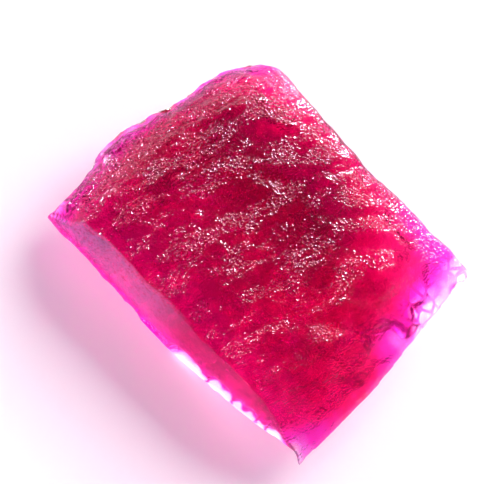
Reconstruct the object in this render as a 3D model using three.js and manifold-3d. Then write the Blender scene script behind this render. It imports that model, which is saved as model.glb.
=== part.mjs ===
// Rough red beryl: one translucent crystal fragment, a five-cornered slab about
// 41 x 32 x 9 mm. Millimetres, +Z up, origin at the middle of its footprint.
//
// +Z  the broad natural face: gently crowned, ribbed and stepped
// -Y  a flat saw cut, leaning in a little towards the top, with a chipped lower edge
// -Z  the back: ground flat in the middle, where the stone rests, and broken away
//     around it in bevels and conchoidal scoops that leave the +X and +Y rims thin
import * as THREE from "three";
import { ImprovedNoise } from "three/addons/math/ImprovedNoise.js";
import { mergeVertices } from "three/addons/utils/BufferGeometryUtils.js";
import Module from "manifold-3d";

const wasm = await Module();
wasm.setup();
const { degToRad, inverseLerp, lerp, smoothstep } = THREE.MathUtils;

// ---- driving sizes -------------------------------------------------------------
const LENGTH = 41; // along X, the way the saw cut runs
const WIDTH = 32; // along Y, from the saw cut to the thin rim
const THICKNESS = 8.4; // from the ground back to the crown of the broad face
const CELLS = { x: 46, y: 38, z: 2 }; // how finely the slab is divided before it is cut
const CROWDING = 0.45; // how much the divisions crowd towards the rims, 0 to 1

// ---- outline -------------------------------------------------------------------
// The four sides in plan, as shares of LENGTH and WIDTH from the middle. Each one
// runs towards +X or +Y, so the sides share their end points, the four corners.
const CORNER = {
  sawLeft: [-0.482, -0.55],
  sawRight: [0.5, -0.55],
  thinRight: [0.472, 0.442],
  thinLeft: [-0.322, 0.502],
};
const SIDES = {
  saw: [CORNER.sawLeft, CORNER.sawRight],
  thin: [
    CORNER.thinLeft,
    [-0.3, 0.505],
    [-0.2, 0.49],
    [0.08, 0.464],
    [0.26, 0.463],
    [0.42, 0.462],
    [0.458, 0.458],
    CORNER.thinRight,
  ],
  left: [
    CORNER.sawLeft,
    [-0.475, -0.36],
    [-0.5, -0.2],
    [-0.503, -0.12],
    [-0.478, 0.02],
    [-0.455, 0.11],
    [-0.437, 0.22],
    [-0.428, 0.32],
    [-0.385, 0.44],
    [-0.345, 0.486],
    CORNER.thinLeft,
  ],
  right: [CORNER.sawRight, [0.502, -0.12], [0.488, 0.12], [0.474, 0.35], CORNER.thinRight],
};
// Small ins and outs along the rims.
const RIM_WAVE = { saw: 0, thin: 0.14, left: 0.3, right: 0.16, length: 2.2 };

// ---- heights -------------------------------------------------------------------
const RIM_TOP = { saw: 6.9, thin: 6.9, left: 6.2, right: 4.8 }; // of the broad face at each rim
const SHOULDER = { saw: 12, thin: 8, left: 6, right: 12 }; // how far in the face reaches its crown
const ROUNDING = { size: 0.45, reach: 0.9 }; // how the face rolls over at a broken rim
// The bevels of the back: the stone left at the rim, how far in the bevel starts, and
// how much of it is left beside the saw cut.
const BEVELS = {
  thin: { left: 1.0, wide: 11, atSaw: 1 },
  left: { left: 1.4, wide: 7.5, atSaw: 0.15 },
  right: { left: 0.9, wide: 9, atSaw: 0.3 },
};
const FADE = [0.1, 0.42]; // where those bevels fade, as shares of the way from the saw cut
// The bevel at the thin rim is narrower part of the way along: how narrow, and where.
const WAIST = { narrow: 0.6, at: 0.42, fade: [0.08, 0.34] };
const BOW = { left: 1.6, right: 3.7, curve: 1.5 }; // how the back rises along the saw cut to its ends
const FOOT = { rise: 1.1, wide: 4.5 }; // the broken lower edge of the saw cut
// How the broad face falls away to the saw cut's right end, and over what distance.
const FALL = { drop: 2.1, reach: 12.5 };
const GROUND = 0.45; // how deep the grinding went into the back
const BACK_ROUGH = { size: 0.3, length: 5 };
const THINNEST = 0.45; // the least stone there is between the two rough faces

// ---- relief of the broad face --------------------------------------------------
const GRAIN = degToRad(68); // the ribs run this way, counted from +X
const SWELL = { size: 0.5, length: 11 };
const RIBS = { size: 0.5, along: 10, across: 3.1 };
const LUMPS = { size: 0.2, length: 1.7 };
const AT_RIM = 0.35; // how much of the swell and ribs is left at a rim
// Growth steps down towards the left rim: where each one crosses the middle of the
// slab, how it wanders, its drop and how wide the drop is.
const STEPS = [
  { x: -13.6, wander: 1.6, drop: 0.5, wide: 0.9 },
  { x: -16.0, wander: 1.0, drop: 0.4, wide: 0.8 },
  { x: -17.6, wander: 0.6, drop: 0.4, wide: 0.7 },
];

// ---- cuts ----------------------------------------------------------------------
const SAW = { y: -16.1, lean: degToRad(7) }; // where it meets the floor, and how far from upright
const BLOCK = 80; // a cutting block, larger than the slab
// Conchoidal scoops out of the back: place, the dish's radii, and how deep it goes.
const SCOOPS = [
  { place: [17.6, 1.9], radii: [2.8, 3.1, 2.6], deep: 1.3 },
  { place: [18.5, 7.6], radii: [2.1, 2.3, 2.0], deep: 0.7 },
  { place: [17.2, 13.0], radii: [3.2, 3.0, 2.4], deep: 1.0 },
  { place: [10.5, 14.4], radii: [4.4, 2.9, 2.3], deep: 0.9 },
  { place: [-10.9, 14.6], radii: [4.2, 3.1, 2.4], deep: 0.9 },
  { place: [-19.4, -8.0], radii: [2.4, 5.2, 2.6], deep: 0.9 },
];
// Bites out of the saw cut's corners and its upper edge.
const BITES = [
  { at: [-21.4, -17.1, 7.0], radii: [6.3, 3.4, 4.6] },
  { at: [-6.4, -15.5, 7.5], radii: [2.5, 0.9, 0.8] },
];
const CHIPS = {
  count: 6,
  from: -15.5,
  to: -5.6,
  radii: [2.0, 0.9, 1.1],
  bite: 0.7,
  vary: { size: 0.6, place: 1.2 },
};
// Hollows where the last of the saw cut broke out, each with a thin clear shelf below
// it: the dish's middle and radii.
const HOLLOWS = [
  { at: [-2.4, -16.35, 1.25], radii: [2.3, 0.8, 0.6] },
  { at: [2.9, -16.5, 1.6], radii: [2.9, 1.4, 0.9] },
  { at: [7.9, -16.5, 2.45], radii: [2.25, 1.4, 1.0] },
  { at: [10.8, -16.3, 2.85], radii: [0.9, 1.0, 0.75] },
  { at: [12.5, -16.3, 3.15], radii: [1.1, 1.1, 0.8] },
  { at: [15.7, -16.1, 3.75], radii: [1.8, 0.9, 0.7] },
];
const DISH = [20, 14]; // facets round and down a scoop
const CHIP = [14, 9]; // and round and down a chip or a hollow

// ---- small helpers -------------------------------------------------------------
const noise = new ImprovedNoise();

// Layered noise between about -1 and 1 at a point measured in wavelengths.
function layered(x, y, seed, layers) {
  let sum = 0;
  let reach = 0;
  for (let i = 0; i < layers; i++) {
    const share = 0.5 ** i;
    sum += share * noise.noise(x * 2 ** i, y * 2 ** i, seed + 7.3 * i);
    reach += share;
  }
  return (1.6 * sum) / reach;
}

// A side as a smooth curve through its points, in millimetres.
function sideCurve(points) {
  const places = points.map(([x, y]) => new THREE.Vector3(x * LENGTH, y * WIDTH, 0));
  return new THREE.CatmullRomCurve3(places, false, "centripetal");
}

const curves = Object.fromEntries(
  Object.entries(SIDES).map(([name, points]) => [name, sideCurve(points)]),
);

// A place on a side, with the small waves of a broken rim worked in.
function onSide(name, share) {
  const place = curves[name].getPointAt(share);
  const calm = Math.sin(Math.PI * share) ** 0.5; // the corners stay put
  const wave = RIM_WAVE[name] * calm;
  const across = place.x / RIM_WAVE.length;
  const along = place.y / RIM_WAVE.length;
  place.x += wave * layered(across, along, 3.1, 2);
  place.y += wave * layered(across, along, 9.7, 2);
  return place;
}

// A point of the plan from its shares of the way along X and Y: a Coons patch.
function plan(u, v) {
  const [saw, thin] = [onSide("saw", u), onSide("thin", u)];
  const [left, right] = [onSide("left", v), onSide("right", v)];
  const [a, b] = [onSide("saw", 0), onSide("saw", 1)];
  const [c, d] = [onSide("thin", 0), onSide("thin", 1)];
  const at = (key) =>
    lerp(saw[key], thin[key], v) +
    lerp(left[key], right[key], u) -
    lerp(lerp(a[key], b[key], u), lerp(c[key], d[key], u), v);
  return { x: at("x"), y: at("y") };
}

// ---- the two rough faces -------------------------------------------------------
// How far a point is from each side, in millimetres.
function fromSides(u, v) {
  return {
    saw: v * WIDTH,
    thin: (1 - v) * WIDTH,
    left: u * LENGTH,
    right: (1 - u) * LENGTH,
  };
}

// The height of a rim near a point: each side counts more, the nearer it is.
function rimHeight(away) {
  let sum = 0;
  let weights = 0;
  for (const [side, height] of Object.entries(RIM_TOP)) {
    const weight = 1 / (0.5 + away[side]) ** 2;
    sum += weight * height;
    weights += weight;
  }
  return sum / weights;
}

// From 0 at a rim to 1 where the face has reached its crown.
function crownShare(away) {
  return Object.entries(SHOULDER).reduce((share, [side, wide]) => {
    return share * Math.sin((Math.PI / 2) * Math.min(1, away[side] / wide));
  }, 1);
}

// How far the face has rolled down at a broken rim.
function rollOver(away) {
  const nearest = Math.min(away.thin, away.left, away.right);
  const share = Math.max(0, 1 - nearest / ROUNDING.reach);
  return ROUNDING.size * (1 - Math.sqrt(1 - share ** 2));
}

function ribs(x, y) {
  const along = (x * Math.cos(GRAIN) + y * Math.sin(GRAIN)) / RIBS.along;
  const across = (y * Math.cos(GRAIN) - x * Math.sin(GRAIN)) / RIBS.across;
  const bend = 0.5 * layered(along * 1.3, across * 0.5, 21.5, 1);
  const crest = 1 - 2 * Math.abs(layered(along, across + bend, 14.2, 2));
  return RIBS.size * crest;
}

function steps(x, y) {
  let height = 0;
  STEPS.forEach((step, i) => {
    const line = step.x + step.wander * layered(y / 7, i * 5.1, 31.4, 2);
    height -= step.drop * (1 - smoothstep(x, line - step.wide / 2, line + step.wide / 2));
  });
  return height;
}

function faceHeight(u, v, x, y) {
  const away = fromSides(u, v);
  const crown = crownShare(away);
  const swell = SWELL.size * layered(x / SWELL.length, y / SWELL.length, 41.9, 2);
  const lumps = LUMPS.size * layered(x / LUMPS.length, y / LUMPS.length, 5.6, 2);
  const relief = lerp(AT_RIM, 1, crown) * (swell + ribs(x, y)) + lumps + steps(x, y);
  const fall = FALL.drop * (1 - smoothstep(Math.hypot(away.saw, away.right), 0, FALL.reach));
  return lerp(rimHeight(away), THICKNESS, crown) + relief - rollOver(away) - fall;
}

// The rough back, before it is ground and scooped.
function backHeight(u, v, x, y) {
  const away = fromSides(u, v);
  let cubes = (FOOT.rise * Math.max(0, 1 - away.saw / FOOT.wide)) ** 3;
  const waist = lerp(WAIST.narrow, 1, smoothstep(Math.abs(u - WAIST.at), ...WAIST.fade));
  for (const [side, { left, wide, atSaw }] of Object.entries(BEVELS)) {
    const rise = (RIM_TOP[side] - left + GROUND) * lerp(atSaw, 1, smoothstep(v, ...FADE));
    const reach = side === "thin" ? wide * waist : wide;
    cubes += (rise * Math.max(0, 1 - away[side] / reach)) ** 3;
  }
  const bow = (u < 0.5 ? BOW.left : BOW.right) * Math.abs(2 * u - 1) ** BOW.curve * (1 - v);
  const rough = BACK_ROUGH.size * layered(x / BACK_ROUGH.length, y / BACK_ROUGH.length, 61.2, 3);
  return Math.cbrt(cubes) + bow + rough - GROUND;
}

// ---- solids --------------------------------------------------------------------
function solidFrom(geometry) {
  const bare = geometry.clone();
  bare.deleteAttribute("normal");
  bare.deleteAttribute("uv");
  const merged = mergeVertices(bare, 1e-4);
  return new wasm.Manifold(
    new wasm.Mesh({
      numProp: 3,
      vertProperties: merged.attributes.position.array,
      triVerts: new Uint32Array(merged.index.array),
    }),
  );
}

function geometryFrom(solid) {
  const mesh = solid.getMesh();
  const geometry = new THREE.BufferGeometry();
  geometry.setAttribute("position", new THREE.BufferAttribute(mesh.vertProperties, 3));
  geometry.setIndex(new THREE.BufferAttribute(mesh.triVerts, 1));
  return geometry;
}

// A share of the way across, moved towards the nearer end.
function crowd(share) {
  return lerp(share, 0.5 - 0.5 * Math.cos(Math.PI * share), CROWDING);
}

// The uncut slab: a finely divided box whose top and bottom follow the rough faces.
function roughSlab() {
  const box = new THREE.BoxGeometry(1, 1, 1, CELLS.x, CELLS.y, CELLS.z);
  const points = box.getAttribute("position");
  for (let i = 0; i < points.count; i++) {
    const [u, v] = [crowd(points.getX(i) + 0.5), crowd(points.getY(i) + 0.5)];
    const w = points.getZ(i) + 0.5;
    const { x, y } = plan(u, v);
    const top = faceHeight(u, v, x, y);
    const bottom = Math.min(backHeight(u, v, x, y), top - THINNEST);
    points.setXYZ(i, x, y, lerp(bottom, top, w));
  }
  return solidFrom(box);
}

// What the saw took: everything beyond a plane that leans in towards the top.
function sawnOff() {
  const block = new THREE.BoxGeometry(BLOCK, BLOCK, BLOCK);
  block.translate(0, -BLOCK / 2, 0);
  block.rotateX(-SAW.lean);
  block.translate(0, SAW.y, 0);
  return solidFrom(block);
}

// What the grinding took: everything below the floor.
function groundOff() {
  const block = new THREE.BoxGeometry(BLOCK, BLOCK, BLOCK);
  block.translate(0, 0, -BLOCK / 2);
  return solidFrom(block);
}

// A ball of the given radii: what a scoop, a bite or a chip took.
function dish({ at, radii }, facets) {
  const ball = new THREE.SphereGeometry(1, ...facets);
  ball.scale(...radii);
  ball.translate(...at);
  return solidFrom(ball);
}

// The height of the ground back at a place.
function backAt(x, y) {
  const u = x / LENGTH + 0.5;
  const v = inverseLerp(CORNER.sawLeft[1], CORNER.thinLeft[1], y / WIDTH);
  return Math.max(0, backHeight(u, v, x, y));
}

function scoops() {
  return SCOOPS.map(({ place: [x, y], radii, deep }) =>
    dish({ at: [x, y, backAt(x, y) + deep - radii[2]], radii }, DISH),
  );
}

// Long flakes off the lower edge of the saw cut, each a different size.
function chips() {
  return Array.from({ length: CHIPS.count }, (_, i) => {
    const share = i / (CHIPS.count - 1);
    const vary = layered(share * 9.3, 0.5, 71.3, 1);
    const radii = CHIPS.radii.map((radius) => radius * (1 + CHIPS.vary.size * vary));
    const x = lerp(CHIPS.from, CHIPS.to, share) + CHIPS.vary.place * vary;
    const z = backAt(x, SAW.y) + CHIPS.bite - radii[2];
    return dish({ at: [x, SAW.y, z], radii }, CHIP);
  });
}

function stoneSolid() {
  const cuts = [
    sawnOff(),
    groundOff(),
    ...scoops(),
    ...BITES.map((bite) => dish(bite, DISH)),
    ...HOLLOWS.map((hollow) => dish(hollow, CHIP)),
    ...chips(),
  ];
  return cuts.reduce((stone, cut) => stone.subtract(cut), roughSlab());
}

// ---- the part ------------------------------------------------------------------
const geometry = geometryFrom(stoneSolid());
geometry.computeBoundingBox();
const { min, max } = geometry.boundingBox;
geometry.translate(-(min.x + max.x) / 2, -(min.y + max.y) / 2, -min.z);

const material = new THREE.MeshStandardMaterial({
  color: new THREE.Color("#c4144e"),
  roughness: 0.25,
  metalness: 0,
});
const stone = new THREE.Mesh(geometry, material);
stone.name = "rough_beryl";

const part = new THREE.Group();
part.add(stone);

export default part;
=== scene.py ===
import math

import bpy
import numpy as np
from mathutils import Matrix, Vector, noise
from mathutils.bvhtree import BVHTree


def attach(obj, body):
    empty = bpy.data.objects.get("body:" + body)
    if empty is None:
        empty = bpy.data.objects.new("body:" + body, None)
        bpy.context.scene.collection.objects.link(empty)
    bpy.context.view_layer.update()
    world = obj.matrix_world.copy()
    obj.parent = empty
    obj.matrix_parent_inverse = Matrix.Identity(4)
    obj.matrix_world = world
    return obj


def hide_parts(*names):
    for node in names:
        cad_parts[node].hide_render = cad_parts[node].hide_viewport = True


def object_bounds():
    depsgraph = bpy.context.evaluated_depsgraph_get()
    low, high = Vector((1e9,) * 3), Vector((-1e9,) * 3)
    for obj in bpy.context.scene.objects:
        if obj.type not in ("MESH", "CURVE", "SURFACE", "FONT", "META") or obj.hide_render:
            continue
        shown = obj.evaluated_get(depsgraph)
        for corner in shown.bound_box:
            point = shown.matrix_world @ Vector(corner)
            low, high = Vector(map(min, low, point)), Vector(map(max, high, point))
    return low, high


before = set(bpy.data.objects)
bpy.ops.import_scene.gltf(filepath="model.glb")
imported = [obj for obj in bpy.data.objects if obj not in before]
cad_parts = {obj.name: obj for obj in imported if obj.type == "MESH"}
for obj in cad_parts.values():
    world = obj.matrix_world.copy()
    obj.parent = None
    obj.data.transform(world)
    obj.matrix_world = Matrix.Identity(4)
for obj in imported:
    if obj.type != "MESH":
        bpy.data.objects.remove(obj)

bl_info = {
    "name": "Rough red beryl",
    "version": (1, 0, 0),
    "blender": (4, 5, 0),
    "location": "3D View > Sidebar > Beryl",
    "description": "Finishes a rough translucent crystal and the light table it lies on",
    "category": "Object",
}

MM = 0.001
NODE = "rough_beryl"
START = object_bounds()


# ---- what a user would change ------------------------------------------------------


class BERYL_PG_relief(bpy.types.PropertyGroup):
    """Sizes of the stone's fine relief."""

    mesh_size: bpy.props.FloatProperty(
        name="Mesh size", description="Edge length of the finished mesh",
        default=0.205 * MM, min=0.1 * MM, unit="LENGTH", precision=6,
    )
    grain_turn: bpy.props.FloatProperty(
        name="Grain direction", description="The way the ribs run, from the sawn side",
        default=math.radians(68), subtype="ANGLE",
    )
    rib_height: bpy.props.FloatProperty(
        name="Rib height", description="Height of the ribs on the natural face",
        default=0.07 * MM, unit="LENGTH", precision=6,
    )
    grain_height: bpy.props.FloatProperty(
        name="Grain height", description="Height of the fine grain on the natural face",
        default=0.03 * MM, unit="LENGTH", precision=6,
    )
    ledge_height: bpy.props.FloatProperty(
        name="Ledge height", description="Height of the fine growth ledges by the left rim",
        default=0.09 * MM, unit="LENGTH", precision=6,
    )
    splinter_height: bpy.props.FloatProperty(
        name="Splinter height", description="Height of the splinters on the broken left rim",
        default=0.5 * MM, unit="LENGTH", precision=6,
    )
    back_height: bpy.props.FloatProperty(
        name="Back grain height", description="Height of the coarse grain on the back",
        default=0.12 * MM, unit="LENGTH", precision=6,
    )


class BERYL_PG_look(bpy.types.PropertyGroup):
    """Colours and finish of the crystal."""

    clear_colour: bpy.props.FloatVectorProperty(
        name="Clear colour", description="Colour of the clear windows and the sawn side's foot",
        default=(1.0, 0.9, 1.0), subtype="COLOR", size=3, min=0, max=1,
    )
    pale_colour: bpy.props.FloatVectorProperty(
        name="Pale colour", description="Colour of the thinnest rims",
        default=(1.0, 0.25, 0.92), subtype="COLOR", size=3, min=0, max=1,
    )
    rim_colour: bpy.props.FloatVectorProperty(
        name="Rim colour", description="Colour of the thin rims",
        default=(1.0, 0.05, 0.68), subtype="COLOR", size=3, min=0, max=1,
    )
    bright_colour: bpy.props.FloatVectorProperty(
        name="Bright colour", description="Colour behind the rims",
        default=(1.0, 0.02, 0.22), subtype="COLOR", size=3, min=0, max=1,
    )
    body_colour: bpy.props.FloatVectorProperty(
        name="Body colour", description="Colour of the broad middle",
        default=(0.62, 0.0, 0.07), subtype="COLOR", size=3, min=0, max=1,
    )
    deep_colour: bpy.props.FloatVectorProperty(
        name="Deep colour", description="Colour of the thickest and cloudiest places",
        default=(0.26, 0.0, 0.04), subtype="COLOR", size=3, min=0, max=1,
    )
    # Painted glow: the emission colour at the sawn foot and in the clear windows.
    painted_glow_colour: bpy.props.FloatVectorProperty(
        name="Lit colour", description="Light that gathers at the sawn foot and in the clear windows",
        default=(0.9, 0.75, 0.88), subtype="COLOR", size=3, min=0, max=1,
    )
    # Painted sheen: the emission colour of the dull saw marks by the left corner.
    painted_sheen_colour: bpy.props.FloatVectorProperty(
        name="Haze colour", description="Haze of the saw marks by the left corner",
        default=(0.05, 0.08, 0.2), subtype="COLOR", size=3, min=0, max=1,
    )
    depth_colour: bpy.props.FloatVectorProperty(
        name="Depth colour", description="Colour that light takes on inside the crystal",
        default=(0.985, 0.7, 0.95), subtype="COLOR", size=3, min=0, max=1,
    )
    depth_strength: bpy.props.FloatProperty(
        name="Depth strength", description="How fast light takes on the depth colour, per metre",
        default=400, min=0,
    )


class BERYL_PG_stage(bpy.types.PropertyGroup):
    """The table, the light and the camera."""

    # Painted shadow: the table's glow is dimmer and mauve under and round the stone.
    painted_shadow_glow: bpy.props.FloatVectorProperty(
        name="Near glow", description="Light given off by the table under and round the stone",
        default=(0.56, 0.35, 0.5), subtype="COLOR", size=3, min=0, max=1,
    )
    far_glow: bpy.props.FloatVectorProperty(
        name="Far glow", description="Light given off by the rest of the table",
        default=(0.95, 0.95, 0.96), subtype="COLOR", size=3, min=0, max=1,
    )
    key_power: bpy.props.FloatProperty(
        name="Key light", description="Power of the large lamp behind the stone",
        default=4.5, min=0, unit="POWER",
    )
    sparkle_power: bpy.props.FloatProperty(
        name="Sparkle light", description="Power of the small lamp that the ribs catch",
        default=2.5, min=0, unit="POWER",
    )
    window_light: bpy.props.FloatProperty(
        name="Window light", description="Brightness of the window that throws the stone's shadow",
        default=11.5, min=0,
    )
    ceiling_light: bpy.props.FloatProperty(
        name="Ceiling light", description="Brightness overhead, as seen through the stone",
        default=0.15, min=0,
    )
    camera_tilt: bpy.props.FloatProperty(
        name="Camera tilt", description="How far the camera leans from straight above",
        default=math.radians(25), subtype="ANGLE",
    )
    camera_roll: bpy.props.FloatProperty(
        name="Camera roll", description="Turn of the picture about the line of sight",
        default=math.radians(44.7), subtype="ANGLE",
    )
    lens: bpy.props.FloatProperty(
        name="Lens", description="Focal length", default=600, min=10, unit="CAMERA",
    )
    view_width: bpy.props.FloatProperty(
        name="View width", description="Width that the camera sees at the stone",
        default=56.818182 * MM, min=1 * MM, unit="LENGTH",
    )


# ---- modelling helpers -------------------------------------------------------------


def select_only(obj):
    """Selects this object and nothing else, and makes it active."""
    if bpy.context.object and bpy.context.object.mode != "OBJECT":
        bpy.ops.object.mode_set(mode="OBJECT")
    bpy.ops.object.select_all(action="DESELECT")
    obj.select_set(True)
    bpy.context.view_layer.objects.active = obj


def apply_modifier(obj, kind, **settings):
    """Adds a modifier with these settings and applies it."""
    select_only(obj)
    modifier = obj.modifiers.new(kind.title(), kind)
    for name, value in settings.items():
        setattr(modifier, name, value)
    bpy.ops.object.modifier_apply(modifier=modifier.name)


def vertex_arrays(obj):
    """Places in millimetres, and normals, one row per vertex."""
    mesh = obj.data
    places = np.empty(len(mesh.vertices) * 3, np.float32)
    mesh.vertices.foreach_get("co", places)
    normals = np.empty(len(mesh.vertices) * 3, np.float32)
    mesh.vertex_normals.foreach_get("vector", normals)
    return places.reshape(-1, 3) / MM, normals.reshape(-1, 3)


def move_vertices(obj, places):
    """Puts the vertices at these places, in millimetres."""
    obj.data.vertices.foreach_set("co", (places * MM).ravel())
    obj.data.update()


def smoothstep(low, high, values):
    """0 below low, 1 above high, and smooth between."""
    share = np.clip((values - low) / (high - low), 0, 1)
    return share * share * (3 - 2 * share)


def weigh(obj, name, weights):
    """Stores one weight per vertex as a vertex group."""
    group = obj.vertex_groups.new(name=name)
    for index, weight in enumerate(weights.tolist()):
        group.add([index], weight, "REPLACE")


def store(obj, name, values):
    """Stores one number per vertex as an attribute that a material can read."""
    attribute = obj.data.attributes.new(name, "FLOAT", "POINT")
    attribute.data.foreach_set("value", values.astype(np.float32))


def displace(obj, texture, group, height, turn=0.0, stretch=(1, 1, 1), mid_level=0.5):
    """Raises a vertex group by a texture, measured in a turned and stretched space."""
    bpy.ops.object.select_all(action="DESELECT")
    bpy.ops.object.empty_add()
    space = bpy.context.object
    space.rotation_euler.z = turn
    space.scale = [size * MM for size in stretch]
    bpy.context.view_layer.update()
    apply_modifier(
        obj, "DISPLACE", texture=texture, texture_coords="OBJECT", texture_coords_object=space,
        vertex_group=group, strength=height, mid_level=mid_level,
    )
    bpy.data.objects.remove(space)


def texture(name, kind, **settings):
    """Adds a texture for a displacement, with these settings."""
    made = bpy.data.textures.new(name, kind)
    for key, value in settings.items():
        setattr(made, key, value)
    return made


# ---- shader helpers ----------------------------------------------------------------


class Value:
    """A socket of a node tree that takes part in arithmetic."""

    def __init__(self, tree, socket):
        self.tree, self.socket = tree, socket

    def math(self, operation, one, other):
        """A Math node on two numbers or sockets."""
        return self.tree.node("Math", {"operation": operation}, {0: one, 1: other})

    def __add__(self, other):
        return self.math("ADD", self, other)

    def __rsub__(self, other):
        return self.math("SUBTRACT", other, self)

    def __mul__(self, other):
        return self.math("MULTIPLY", self, other)

    __radd__, __rmul__ = __add__, __mul__

    def ramp(self, low, high):
        """0 below low, 1 above high, and smooth between."""
        settings = {"interpolation_type": "SMOOTHSTEP"}
        sockets = {"Value": self, "From Min": low, "From Max": high}
        return self.tree.node("MapRange", settings, sockets)


class Tree:
    """Nodes of one material or world, added by kind."""

    def __init__(self, owner):
        owner.use_nodes = True
        self.nodes, self.links = owner.node_tree.nodes, owner.node_tree.links
        self.nodes.clear()

    def node(self, kind, settings=None, sockets=None, out=0):
        """Adds a shader node, sets it, fills its sockets and gives one output."""
        made = self.nodes.new("ShaderNode" + kind)
        for name, value in (settings or {}).items():
            if name == "color_ramp":
                self.fill_ramp(made.color_ramp, value)
            else:
                setattr(made, name, value)
        for name, value in (sockets or {}).items():
            if isinstance(value, Value):
                self.links.new(value.socket, made.inputs[name])
            else:
                made.inputs[name].default_value = value
        return Value(self, made.outputs[out]) if len(made.outputs) else None

    def fill_ramp(self, ramp, stops):
        """Sets a colour ramp's stops, each a place from 0 to 1 and a colour."""
        while len(ramp.elements) < len(stops):
            ramp.elements.new(1.0)
        for element, (place, colour) in zip(ramp.elements, stops):
            element.position, element.color = place, (*colour, 1)

    def mix(self, share, one, other):
        """A blend of two colours."""
        colours = {
            6 + i: colour if isinstance(colour, Value) else (*colour, 1)
            for i, colour in enumerate((one, other))
        }
        return self.node("Mix", {"data_type": "RGBA"}, {0: share, **colours}, out=2)

    def attribute(self, name):
        """One of the numbers stored per vertex."""
        return self.node("Attribute", {"attribute_name": name}, out=2)

    def lumps(self, scale, detail, stretch=(1, 1, 1), turn=0.0):
        """Noise with about scale lumps per millimetre, in a turned and stretched space."""
        place = self.node("TexCoord", out=3)
        mapped = self.node("Mapping", {"vector_type": "TEXTURE"}, {
            "Vector": place, "Rotation": (0, 0, turn), "Scale": [size * MM / scale for size in stretch],
        })
        return self.node("TexNoise", {}, {"Vector": mapped, "Scale": 1.0, "Detail": detail})

    def by_depth(self, depth, stops):
        """A colour chosen by millimetres of stone."""
        stops = [(place / THICKEST, colour) for place, colour in stops]
        return self.node("ValToRGB", {"color_ramp": stops}, {"Fac": depth * (1 / THICKEST)})


# ---- the stone ---------------------------------------------------------------------

# Places are in millimetres. A spot is x, y, radius and strength.
THICKEST = 12.0
# Millimetres that the depth of colour gains at cloudy spots, at deep rims, and on the steep right outline
# as painted shade.
CLOUDY_GAIN = 3.0
RIM_GAIN = 2.5
OUTLINE_SHADE_GAIN = 1.0
# Where the stone is thinner, clear, cloudy, deep in colour at its rim, or free of glints.
THIN_SPOTS = (
    (18.5, 8.8, 5.0, 0.6),
    (18.0, 13.3, 3.5, 0.5),
    (18.2, 2.2, 2.6, 0.7),
    (14.0, 13.8, 3.5, 0.4),
    (-19.5, -5.7, 1.6, 0.6),
    (-17.0, 14.3, 4.0, 0.3),
    (-20.0, -14.7, 3.0, 0.7),
)
# The clear windows also get a painted glow in the crystal's emission.
WINDOW_SPOTS = (
    (18.5, 13.6, 2.5, 1.0),
    (18.9, 8.3, 2.5, 1.0),
    (18.2, 6.7, 1.8, 1.0),
    (19.3, 5.6, 1.1, 1.0),
    (-20.4, -14.9, 1.8, 1.0),
)
CLOUDY_SPOTS = (
    (1, 2.79, 6.5, 1),
    (-5, -5.71, 5, 0.6),
    (-10, 6.29, 3.5, 0.3),
    (9, -9.71, 2.5, 0.5),
    (14, -9.7, 4, 0.5),
)
DEEP_RIMS = (
    (20, -5, 5, 1.0),
    (19, -11, 6, 1.0),
    (-9, 16, 5, 0.6),
    (0, 16, 6, 0.6),
    (8, 15.5, 4, 0.5),
)
SMOOTH_SPOTS = (
    (15, -9, 6, 0.45),
    (18.5, -3, 5, 0.9),
    (18.3, 4.2, 4, 1.0),
    (15.2, 1.1, 3, 0.8),
    (18, 10, 4, 0.7),
    (8, 9.3, 4, 0.35),
)
# The lower edge of the sawn side: its height at places along X.
FOOT = (
    (-20, 1.8), (-14, 1.4), (-7, 1.0), (-3, 0.4), (3, 0.3), (6, 0.7), (10, 1.2), (15, 2.2), (19, 3.3),
)
# The depth of colour of the sawn side at heights above its foot.
SAWN_DEPTH = ((0.0, 0.0), (0.9, 0.2), (1.3, 1.2), (1.9, 2.6), (3.2, 4.5), (5.0, 8.0), (6.5, 9.0))
# Places along X between the white lobes at the foot of the sawn side.
LOBE_GAPS = (0.4, 6.3, 10.0, 13.2, 15.1)
LOBE_GAP_WIDTH = 0.16
# The growth ledges by the left rim: the points of each line and its share of the full height.
LEDGES = (
    (((-16, -11.51), (-13.9, -4.61), (-14, -1.51), (-12.9, 2.69), (-13, 5.89), (-13.4, 8.69),
      (-13.5, 11.99), (-13.8, 14.79)), 1.0),
    (((-19.1, -3.21), (-17.7, 0.59), (-17.4, 4.39), (-16.5, 8.49), (-15, 11.09)), 0.8),
    (((-16.6, -4.71), (-15.9, 0.29), (-15.1, 4.29), (-14.9, 9.29)), 0.5),
    (((-19, 1.79), (-18.4, 5.29), (-17.4, 9.79), (-16.2, 13.29)), 0.5),
)
# How far a ledge reaches from its line, and how far its sharp edge does.
LEDGE_WIDTH = 1.1
LEDGE_EDGE = 0.16

# Colours of the sawn side behind its clear foot, by millimetres of stone.
SAWN_COLOURS = (
    (1.2, (1.0, 0.2, 0.9)), (2.6, (1.0, 0.06, 0.6)), (5.0, (0.55, 0.01, 0.2)), (9.0, (0.28, 0.01, 0.1)),
)
# Colours of the painted glow, up to its full colour.
PAINTED_GLOW_COLOURS = ((0.0, (0, 0, 0)), (0.3, (0.4, 0.0, 0.16)), (0.6, (0.7, 0.15, 0.5)))
# The cells of the clear windows, the run and depth of the glitter, and the depth of the saw's pits.
CELLS_PER_METRE = 650
GLITTER_TURN = math.radians(78)
GLITTER_DEPTH = 0.42
PIT_DEPTH = 0.012

SAW_LEAN = math.radians(7)
SAW_NORMAL = Vector((0, -math.cos(SAW_LEAN), math.sin(SAW_LEAN)))


def sawn_plane():
    """A point of the sawn side, in millimetres, from the faces that lie as it does."""
    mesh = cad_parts[NODE].data
    faces = [face for face in mesh.polygons if face.normal.dot(SAW_NORMAL) > 0.9999]
    area = sum(face.area for face in faces)
    return sum((face.center * face.area for face in faces), Vector()) / area / MM


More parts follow.
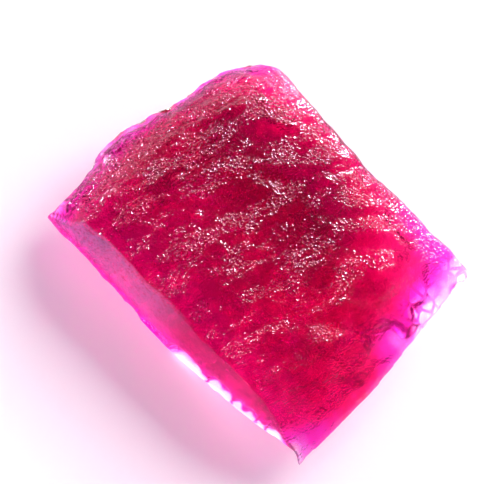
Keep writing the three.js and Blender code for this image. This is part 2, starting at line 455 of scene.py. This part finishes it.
def rough_copy(name):
    """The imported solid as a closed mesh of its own."""
    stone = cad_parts[NODE].copy()
    stone.data = stone.data.copy()
    stone.name = stone.data.name = name
    stone.parent = None
    for key in list(stone.keys()):
        del stone[key]
    bpy.context.scene.collection.objects.link(stone)
    select_only(stone)
    bpy.ops.object.mode_set(mode="EDIT")
    bpy.ops.mesh.select_all(action="SELECT")
    bpy.ops.mesh.remove_doubles(threshold=0.001 * MM)
    bpy.ops.mesh.normals_make_consistent(inside=False)
    bpy.ops.object.mode_set(mode="OBJECT")
    return stone


def regions(obj):
    """How much each vertex belongs to the sawn side and to the parts that the relief is on."""
    places, normals = vertex_arrays(obj)
    off_saw = off_saw_plane(places)
    sawn = smoothstep(0.93, 0.98, normals @ np.array(SAW_NORMAL)) * (off_saw > -0.12)
    ground = 1 - smoothstep(0.03, 0.2, places[:, 2])
    inside = smoothstep(0.05, 0.6, -off_saw)
    face = smoothstep(0.1, 0.5, normals[:, 2]) * inside
    back = smoothstep(0.0, 0.3, -normals[:, 2]) * inside * (1 - ground)
    rim = smoothstep(0.5, 0.9, np.hypot(normals[:, 0], normals[:, 1])) * inside * (1 - ground)
    left = smoothstep(-10.0, -14.0, places[:, 0]) * smoothstep(1.0, 3.0, places[:, 2]) * rim
    return {"sawn": sawn, "face": face, "back": back, "left": left}


def spread(obj, values, rounds):
    """Evens a number per vertex out over its neighbours."""
    ends = np.empty(len(obj.data.edges) * 2, np.int32)
    obj.data.edges.foreach_get("vertices", ends)
    one, other = ends.reshape(-1, 2).T
    count = np.bincount(ends, minlength=len(values))
    for _ in range(rounds):
        total = np.bincount(one, values[other], len(values)) + np.bincount(other, values[one], len(values))
        values = 0.5 * values + 0.5 * total / count
    return values


def thickness(obj):
    """Millimetres of stone behind each vertex, straight in or straight through."""
    places, normals = vertex_arrays(obj)
    tree = BVHTree.FromObject(obj, bpy.context.evaluated_depsgraph_get())
    found = np.full(len(places), THICKEST)
    skin = 0.03 * MM
    for index, (place, normal) in enumerate(zip(places.tolist(), normals.tolist())):
        for ray in (-Vector(normal), Vector((0, 0, -1 if normal[2] > 0 else 1))):
            start = Vector(place) * MM - Vector(normal) * skin
            hit = tree.ray_cast(start, ray, THICKEST * MM)
            if hit[3] is not None:
                found[index] = min(found[index], hit[3] / MM)
    return spread(obj, found, 20)


def near(places, spots):
    """The share, from 0 to 1, by which each place is at one of these round spots."""
    share = np.zeros(len(places))
    for x, y, radius, strength in spots:
        away = np.hypot(places[:, 0] - x, places[:, 1] - y) / radius
        share = np.maximum(share, strength * np.exp(-away**2))
    return share


def off_saw_plane(places):
    """Each place's distance out from the plane of the sawn side, in millimetres."""
    return (places - np.array(sawn_plane())) @ np.array(SAW_NORMAL)


def over_foot(places):
    """Each place's height over the lower edge of the sawn side."""
    return places[:, 2] - np.interp(places[:, 0], *zip(*FOOT))


def depth_seen(obj, thick, sawn):
    """The thickness by which the colour is chosen: less at clear spots, more at cloudy ones, more on the
    steep right outline as painted shade.
    """
    places, normals = vertex_arrays(obj)
    thick = thick * (1.2 - 0.2 * smoothstep(0.0, 10.0, places[:, 0]))
    thick = thick * (1 - near(places, THIN_SPOTS)) + CLOUDY_GAIN * near(places, CLOUDY_SPOTS)
    # Painted shade: deeper colour on the steep sides towards the right.
    outline_shade = (1 - smoothstep(0.2, 0.6, np.abs(normals[:, 2]))) * smoothstep(8.0, 14.0, places[:, 0])
    thick = thick + RIM_GAIN * near(places, DEEP_RIMS) + OUTLINE_SHADE_GAIN * outline_shade
    above_foot, inward = over_foot(places), -off_saw_plane(places)
    shelf = smoothstep(-4.0, 0.0, places[:, 0])
    at_foot = np.interp(above_foot + 0.5 * (1 - shelf), *zip(*SAWN_DEPTH))
    thick = thick * (1 - sawn) + at_foot * sawn
    low = (1 - smoothstep(1.0, 3.0, above_foot)) * (1 - sawn)
    return thick * (1 - low) + np.minimum(thick, 0.35 * np.maximum(inward, 0)) * low


def foot_light(obj):
    """Painted glow: emission that paints white lobes of gathered light along the foot of the sawn side."""
    places, _ = vertex_arrays(obj)
    along = places[:, 0]
    wave = np.array([noise.noise((x * 0.9, 7.0, 2.0)) for x in along.tolist()])
    along = along + 0.5 * np.array([noise.noise((x * 0.5, 3.0, z)) for x, _, z in places.tolist()])
    above = over_foot(places) - 0.7 * wave
    lobes = 0.7 - 0.7 * smoothstep(0.9, 1.3, above)
    glow = 0.3 - 0.3 * smoothstep(1.0, 3.2, above)
    gaps = sum(np.exp(-((along - x) / LOBE_GAP_WIDTH) ** 2) for x in LOBE_GAPS)
    share = (0.3 + 0.7 * smoothstep(0.5, 2.5, along)) * (1 - smoothstep(16.0, 18.5, along))
    at_saw = 1 - smoothstep(0.3, 1.2, -off_saw_plane(places))
    return (lobes + glow) * (1 - np.clip(gaps, 0, 1)) * share * at_saw


def saw_haze(obj):
    """Where the saw has left the sawn side dull, a painted sheen: along its upper edge by the left corner.
    """
    places, _ = vertex_arrays(obj)
    above_foot, inward = over_foot(places), -off_saw_plane(places)
    share = smoothstep(-19.5, -18.0, places[:, 0]) * (1 - smoothstep(-6.0, 2.0, places[:, 0]))
    return share * smoothstep(0.8, 2.4, above_foot) * (1 - smoothstep(0.15, 0.4, inward))


def glints(obj, thick):
    """How strongly each place glints: most on the flatter thick stone, least by the sawn foot."""
    places, normals = vertex_arrays(obj)
    level = smoothstep(0.6, 0.88, spread(obj, np.abs(normals[:, 2]), 12))
    inward = -off_saw_plane(places)
    rough = 1 - near(places, SMOOTH_SPOTS)
    lean = spread(obj, normals[:, 0], 12)
    rough = rough * (1 - 0.4 * smoothstep(0.05, 0.35, lean) + 0.7 * smoothstep(0.05, 0.35, -lean))
    return level * rough * (0.5 + 0.5 * smoothstep(0.8, 3.0, thick)) * smoothstep(0.0, 0.8, inward)


def off_line(places, line):
    """Each place's distance from a line through these points, negative on its left side."""
    best = np.full(len(places), 1e3)
    for (x0, y0), (x1, y1) in zip(line, line[1:]):
        run = np.array([x1 - x0, y1 - y0])
        to = places[:, :2] - (x0, y0)
        share = np.clip(to @ run / (run @ run), 0, 1)
        gap = to - share[:, None] * run
        side = np.sign(to[:, 0] * run[1] - to[:, 1] * run[0])
        away = np.hypot(*gap.T) * side
        best = np.where(np.abs(away) < np.abs(best), away, best)
    return best


def cut_ledges(obj, height):
    """Sharpens the stone's growth ledges: each side of a line stands off the other."""
    places, _ = vertex_arrays(obj)
    face = regions(obj)["face"]
    jag = np.array([noise.noise((x * 1.1, y * 1.1, 4.0)) for x, y, _ in places.tolist()])
    rise = np.zeros(len(places))
    for line, share in LEDGES:
        away = off_line(places, line) + 0.5 * jag
        far = np.abs(away)
        rise += share * np.sign(away) * np.exp(-far / LEDGE_WIDTH) * np.tanh(far / LEDGE_EDGE)
    places[:, 2] += rise * face * height / MM
    move_vertices(obj, places)


def keep_inside(obj, low, high):
    """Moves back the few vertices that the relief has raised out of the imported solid's box."""
    places, _ = vertex_arrays(obj)
    margin = 0.001
    places = np.clip(places, np.array(low) / MM + margin, np.array(high) / MM - margin)
    move_vertices(obj, places)


def crystal_colours(tree, look, clear):
    """The crystal's colour, by the depth of stone behind each place."""
    thick, windows, sawn = (tree.attribute(name) for name in ("thick", "windows", "sawn"))
    clouds, mottle = tree.lumps(0.16, 2.0), tree.lumps(0.7, 3.0)
    seen = thick * (clouds + mottle) * (1 - 0.7 * windows) * (1 - 0.9 * clear)
    natural = tree.by_depth(seen, (
        (0.0, look.clear_colour), (0.35, look.pale_colour), (0.9, look.rim_colour),
        (3.2, look.bright_colour), (7.0, look.body_colour), (10.5, look.deep_colour),
    ))
    cut = tree.by_depth(thick, ((0.0, look.clear_colour), (0.3, look.clear_colour), *SAWN_COLOURS))
    return tree.mix(sawn, natural, cut)


def painted_glow_and_sheen(tree, look, clear, pits):
    """Painted glow at the foot and in the windows, and the painted sheen of the saw marks."""
    stops = (*PAINTED_GLOW_COLOURS, (1.0, look.painted_glow_colour))
    share = tree.attribute("foot_light") + 0.9 * clear
    painted_glow = tree.node("ValToRGB", {"color_ramp": stops}, {"Fac": share})
    painted_sheen = tree.attribute("saw_haze") * (0.3 + 0.7 * pits.ramp(0.36, 0.46))
    return tree.mix(painted_sheen, painted_glow, look.painted_sheen_colour)


def beryl(look):
    """The crystal: clear and pale where thin, crimson and cloudy where thick."""
    material = bpy.data.materials.new("beryl_crystal")
    tree = Tree(material)
    sawn, sparkle = tree.attribute("sawn"), tree.attribute("sparkle")
    veins = tree.node("TexVoronoi", {"feature": "DISTANCE_TO_EDGE"}, {
        "Vector": tree.node("TexCoord", out=3), "Scale": CELLS_PER_METRE,
    })
    # The clear cells of the windows: a paler colour, and a painted glow in the emission.
    clear = tree.attribute("windows") * veins.ramp(0.04, 0.14)

    bands = tree.lumps(0.5, 4.0, stretch=(2.4, 1, 1), turn=GLITTER_TURN).ramp(0.4, 0.62)
    glitter = tree.lumps(4.0, 0.0, stretch=(1.3, 1, 1), turn=GLITTER_TURN)
    pits = tree.lumps(3.5, 2.0)
    relief = sparkle * (0.25 + 0.75 * bands) * glitter * GLITTER_DEPTH + sawn * pits * PIT_DEPTH
    dull = sparkle * (0.3 + 0.7 * bands) * (1 - glitter.ramp(0.4, 0.6))
    crystal = tree.node("BsdfPrincipled", {}, {
        "Base Color": crystal_colours(tree, look, clear),
        "Roughness": 0.12 + 0.15 * sawn + 0.2 * dull + 0.1 * (1 - sparkle) * (1 - sawn),
        "IOR": 1.45,
        "Transmission Weight": 0.94,
        "Specular Tint": (1.0, 0.6, 0.9, 1),
        # Painted glow: emission at the sawn foot and in the clear windows, and a painted sheen on the saw
        # marks.
        "Emission Color": painted_glow_and_sheen(tree, look, clear, pits),
        "Emission Strength": 1.0,
        "Normal": tree.node("Bump", {}, {"Strength": 1.0, "Distance": 1 * MM, "Height": relief}),
    })
    depth = tree.node("VolumeAbsorption", {}, {
        "Color": (*look.depth_colour, 1), "Density": look.depth_strength,
    })
    tree.node("OutputMaterial", {}, {"Surface": crystal, "Volume": depth})
    return material


class BERYL_OT_stone(bpy.types.Operator):
    """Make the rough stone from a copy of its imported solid"""

    bl_idname = "beryl.stone"
    bl_label = "Rough stone"

    def execute(self, context):
        """Shape the stone, store what its material reads, and hand it to the frame."""
        relief = context.scene.beryl_relief
        stone = rough_copy("rough_beryl_stone")
        apply_modifier(
            stone, "REMESH", mode="VOXEL", voxel_size=relief.mesh_size, use_smooth_shade=True,
        )
        apply_modifier(stone, "SMOOTH", factor=0.5, iterations=4)
        for name, weights in regions(stone).items():
            weigh(stone, name, weights)
        apply_modifier(stone, "SMOOTH", factor=0.5, iterations=14, vertex_group="face")
        self.raise_relief(stone, relief)
        stone.vertex_groups.clear()
        keep_inside(stone, *START)
        places, normals = vertex_arrays(stone)
        sawn = regions(stone)["sawn"]
        store(stone, "sawn", sawn)
        thick = thickness(stone)
        # The stored depth of colour also carries painted shade on the steep right outline.
        store(stone, "thick", depth_seen(stone, thick, sawn))
        store(stone, "windows", near(places, WINDOW_SPOTS) * smoothstep(0.0, 0.4, normals[:, 2]))
        store(stone, "foot_light", foot_light(stone))
        store(stone, "saw_haze", saw_haze(stone))
        store(stone, "sparkle", glints(stone, thick) * (1 - sawn))
        stone.data.materials.clear()
        stone.data.materials.append(beryl(context.scene.beryl_look))
        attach(stone, "root")
        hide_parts(NODE)
        return {"FINISHED"}

    def raise_relief(self, stone, relief):
        """Ribs and grain along the crystal's growth, ledges and splinters at the left, a rough back."""
        ribs = texture("ribs", "CLOUDS", noise_scale=1.0, noise_depth=2)
        displace(stone, ribs, "face", relief.rib_height, relief.grain_turn, (3.5, 1.1, 2))
        grain = texture(
            "grain", "MUSGRAVE", musgrave_type="RIDGED_MULTIFRACTAL", noise_scale=1.0, octaves=2,
            offset=0.8, gain=1.2,
        )
        displace(stone, grain, "face", relief.grain_height, relief.grain_turn, (1.5, 0.65, 1))
        cut_ledges(stone, relief.ledge_height)
        splinters = texture("splinters", "CLOUDS", noise_scale=1.0, noise_depth=1)
        displace(
            stone, splinters, "left", relief.splinter_height, relief.grain_turn, (1.8, 1.2, 1.6),
            mid_level=0.7,
        )
        roughen = texture("back_grain", "CLOUDS", noise_scale=1.0, noise_depth=2)
        displace(stone, roughen, "back", relief.back_height, stretch=(1.6, 1.6, 1.6))


# ---- the stage ---------------------------------------------------------------------

# Lengths are in metres. A place is azimuth and elevation in degrees, and distance. A lamp is its
# place and its width.
KEY_LAMP = ((98, 10, 0.45), 0.1)
SPARKLE_LAMP = ((178, 14, 0.45), 0.075)
WINDOW_PLACE = (90, 30, 0.5)
WINDOW_SIZE = (0.5, 0.26)
CEILING_PLACE = (0, 90, 1.2)
CEILING_SIZE = (3, 3)
TABLE_SIZE = 4
TABLE_GAP = 0.05 * MM
# The table's painted shadow is full out to the first distance and gone at the second.
PAINTED_SHADOW_NEAR, PAINTED_SHADOW_FAR = 25 * MM, 70 * MM
CAMERA_CLIP = 10 * MM
# Where the camera looks, from the middle of the stone's box.
AIM = Vector((-1.24, -1.33, 0.02)) * MM


def point_at(azimuth, elevation, distance):
    """The point at these degrees from +X and above the table, this far from the middle of its top."""
    turn, rise = math.radians(azimuth), math.radians(elevation)
    flat = math.cos(rise)
    return distance * Vector((math.cos(turn) * flat, math.sin(turn) * flat, math.sin(rise)))


class BERYL_OT_stage(bpy.types.Operator):
    """Make the pale table, the lights and the camera"""

    bl_idname = "beryl.stage"
    bl_label = "Table, light and camera"

    def execute(self, context):
        stage = context.scene.beryl_stage
        self.add_table(stage)
        self.add_room(context.scene)
        self.add_lamp("key_lamp", *KEY_LAMP, stage.key_power)
        self.add_lamp("sparkle_lamp", *SPARKLE_LAMP, stage.sparkle_power)
        self.add_card("window", WINDOW_PLACE, WINDOW_SIZE, stage.window_light)
        self.add_card("ceiling", CEILING_PLACE, CEILING_SIZE, stage.ceiling_light, lights_table=False)
        self.add_camera(context.scene, stage)
        context.scene.view_settings.view_transform = "Standard"
        return {"FINISHED"}

    def add_table(self, stage):
        """A pale table that gives off some light: white farther out, dimmer and mauve by the stone as a
        painted shadow.
        """
        bpy.ops.object.select_all(action="DESELECT")
        bpy.ops.mesh.primitive_plane_add(size=TABLE_SIZE, location=(0, 0, 0))
        table = bpy.context.object
        table.name = "table"
        table.data.transform(Matrix.Translation((0, 0, -TABLE_GAP)))
        material = bpy.data.materials.new("table_top")
        tree = Tree(material)
        place = tree.node("TexCoord", out=3)
        away = tree.node("VectorMath", {"operation": "LENGTH"}, {0: place}, out=1)
        shade = tree.mix(away.ramp(PAINTED_SHADOW_NEAR, PAINTED_SHADOW_FAR), stage.painted_shadow_glow, stage.far_glow)
        top = tree.node("BsdfPrincipled", {}, {
            "Base Color": (0.8, 0.8, 0.82, 1), "Roughness": 0.9, "Specular IOR Level": 0.1,
            "Emission Color": shade, "Emission Strength": 1.0,
        })
        tree.node("OutputMaterial", {}, {"Surface": top})
        table.data.materials.append(material)

    def add_card(self, name, place, size, strength, lights_table=True):
        """A bright card that faces the stone, left out of the gloss and out of sight."""
        place = point_at(*place)
        bpy.ops.object.select_all(action="DESELECT")
        bpy.ops.mesh.primitive_plane_add(size=1, location=(0, 0, 0))
        card = bpy.context.object
        card.name = name
        facing = (-place).to_track_quat("-Z", "Y").to_matrix().to_4x4()
        facing.translation = place
        card.data.transform(facing @ Matrix.Diagonal((*size, 1, 1)))
        material = bpy.data.materials.new(name + "_light")
        tree = Tree(material)
        glow = tree.node("Emission", {}, {"Color": (1, 1, 1, 1), "Strength": strength})
        tree.node("OutputMaterial", {}, {"Surface": glow})
        material.cycles.emission_sampling = "NONE"
        card.data.materials.append(material)
        card.visible_glossy = card.visible_camera = False
        card.visible_diffuse = lights_table

    def add_room(self, scene):
        """Soft light all round, bright by the horizon and dim overhead."""
        world = bpy.data.worlds.new("room")
        tree = Tree(world)
        direction = tree.node("TexCoord", out=0)
        height = tree.node("SeparateXYZ", {}, {0: direction}, out=2)
        strength = 0.4 - 0.37 * height.ramp(0.08, 0.4)
        light = tree.node("Background", {}, {"Color": (0.97, 0.98, 1, 1), "Strength": strength})
        tree.node("OutputWorld", {}, {"Surface": light})
        scene.world = world

    def add_lamp(self, name, place, size, power):
        """A square lamp that faces the stone and leaves no light on the table."""
        place = point_at(*place)
        bpy.ops.object.light_add(type="AREA", location=place)
        lamp = bpy.context.object
        lamp.name = name
        lamp.rotation_euler = (-place).to_track_quat("-Z", "Y").to_euler()
        lamp.data.size = size
        lamp.data.energy = power
        lamp.visible_diffuse = False

    def add_camera(self, scene, stage):
        """A camera far off with a long lens, which looks down on the stone from the sawn side."""
        low, high = START
        target = (low + high) / 2 + AIM
        tilt, roll = stage.camera_tilt, stage.camera_roll
        sight = Vector((0, math.sin(tilt), -math.cos(tilt)))
        upwards = Vector((0, math.cos(tilt), math.sin(tilt)))
        along = Vector((1, 0, 0))
        right = along * math.cos(roll) + upwards * math.sin(roll)
        top = upwards * math.cos(roll) - along * math.sin(roll)
        bpy.ops.object.camera_add()
        camera = bpy.context.object
        camera.name = "camera"
        camera.data.lens = stage.lens
        distance = stage.lens / camera.data.sensor_width * stage.view_width
        facing = Matrix((right, top, -sight)).transposed().to_4x4()
        camera.matrix_world = Matrix.Translation(target - sight * distance) @ facing
        camera.data.clip_start = CAMERA_CLIP
        scene.camera = camera


# ---- panel and running -------------------------------------------------------------


class BERYL_PT_panel(bpy.types.Panel):
    """Sizes, colours and making of the rough beryl"""

    bl_label = "Rough beryl"
    bl_idname = "BERYL_PT_panel"
    bl_space_type = "VIEW_3D"
    bl_region_type = "UI"
    bl_category = "Beryl"

    def draw(self, context):
        for group in (context.scene.beryl_relief, context.scene.beryl_look, context.scene.beryl_stage):
            box = self.layout.box()
            for name in group.bl_rna.properties.keys():
                if name not in ("rna_type", "name"):
                    box.prop(group, name)
        for operator in OPERATORS:
            self.layout.operator(operator.bl_idname)


GROUPS = {
    "beryl_relief": BERYL_PG_relief,
    "beryl_look": BERYL_PG_look,
    "beryl_stage": BERYL_PG_stage,
}
OPERATORS = (BERYL_OT_stone, BERYL_OT_stage)
CLASSES = (*GROUPS.values(), *OPERATORS, BERYL_PT_panel)


def register():
    for cls in CLASSES:
        bpy.utils.register_class(cls)
    for name, group in GROUPS.items():
        setattr(bpy.types.Scene, name, bpy.props.PointerProperty(type=group))


def unregister():
    for name in GROUPS:
        delattr(bpy.types.Scene, name)
    for cls in reversed(CLASSES):
        bpy.utils.unregister_class(cls)


def main():
    register()
    bpy.ops.beryl.stone()
    bpy.ops.beryl.stage()
    bpy.context.view_layer.update()


if __name__ == "__main__":
    main()
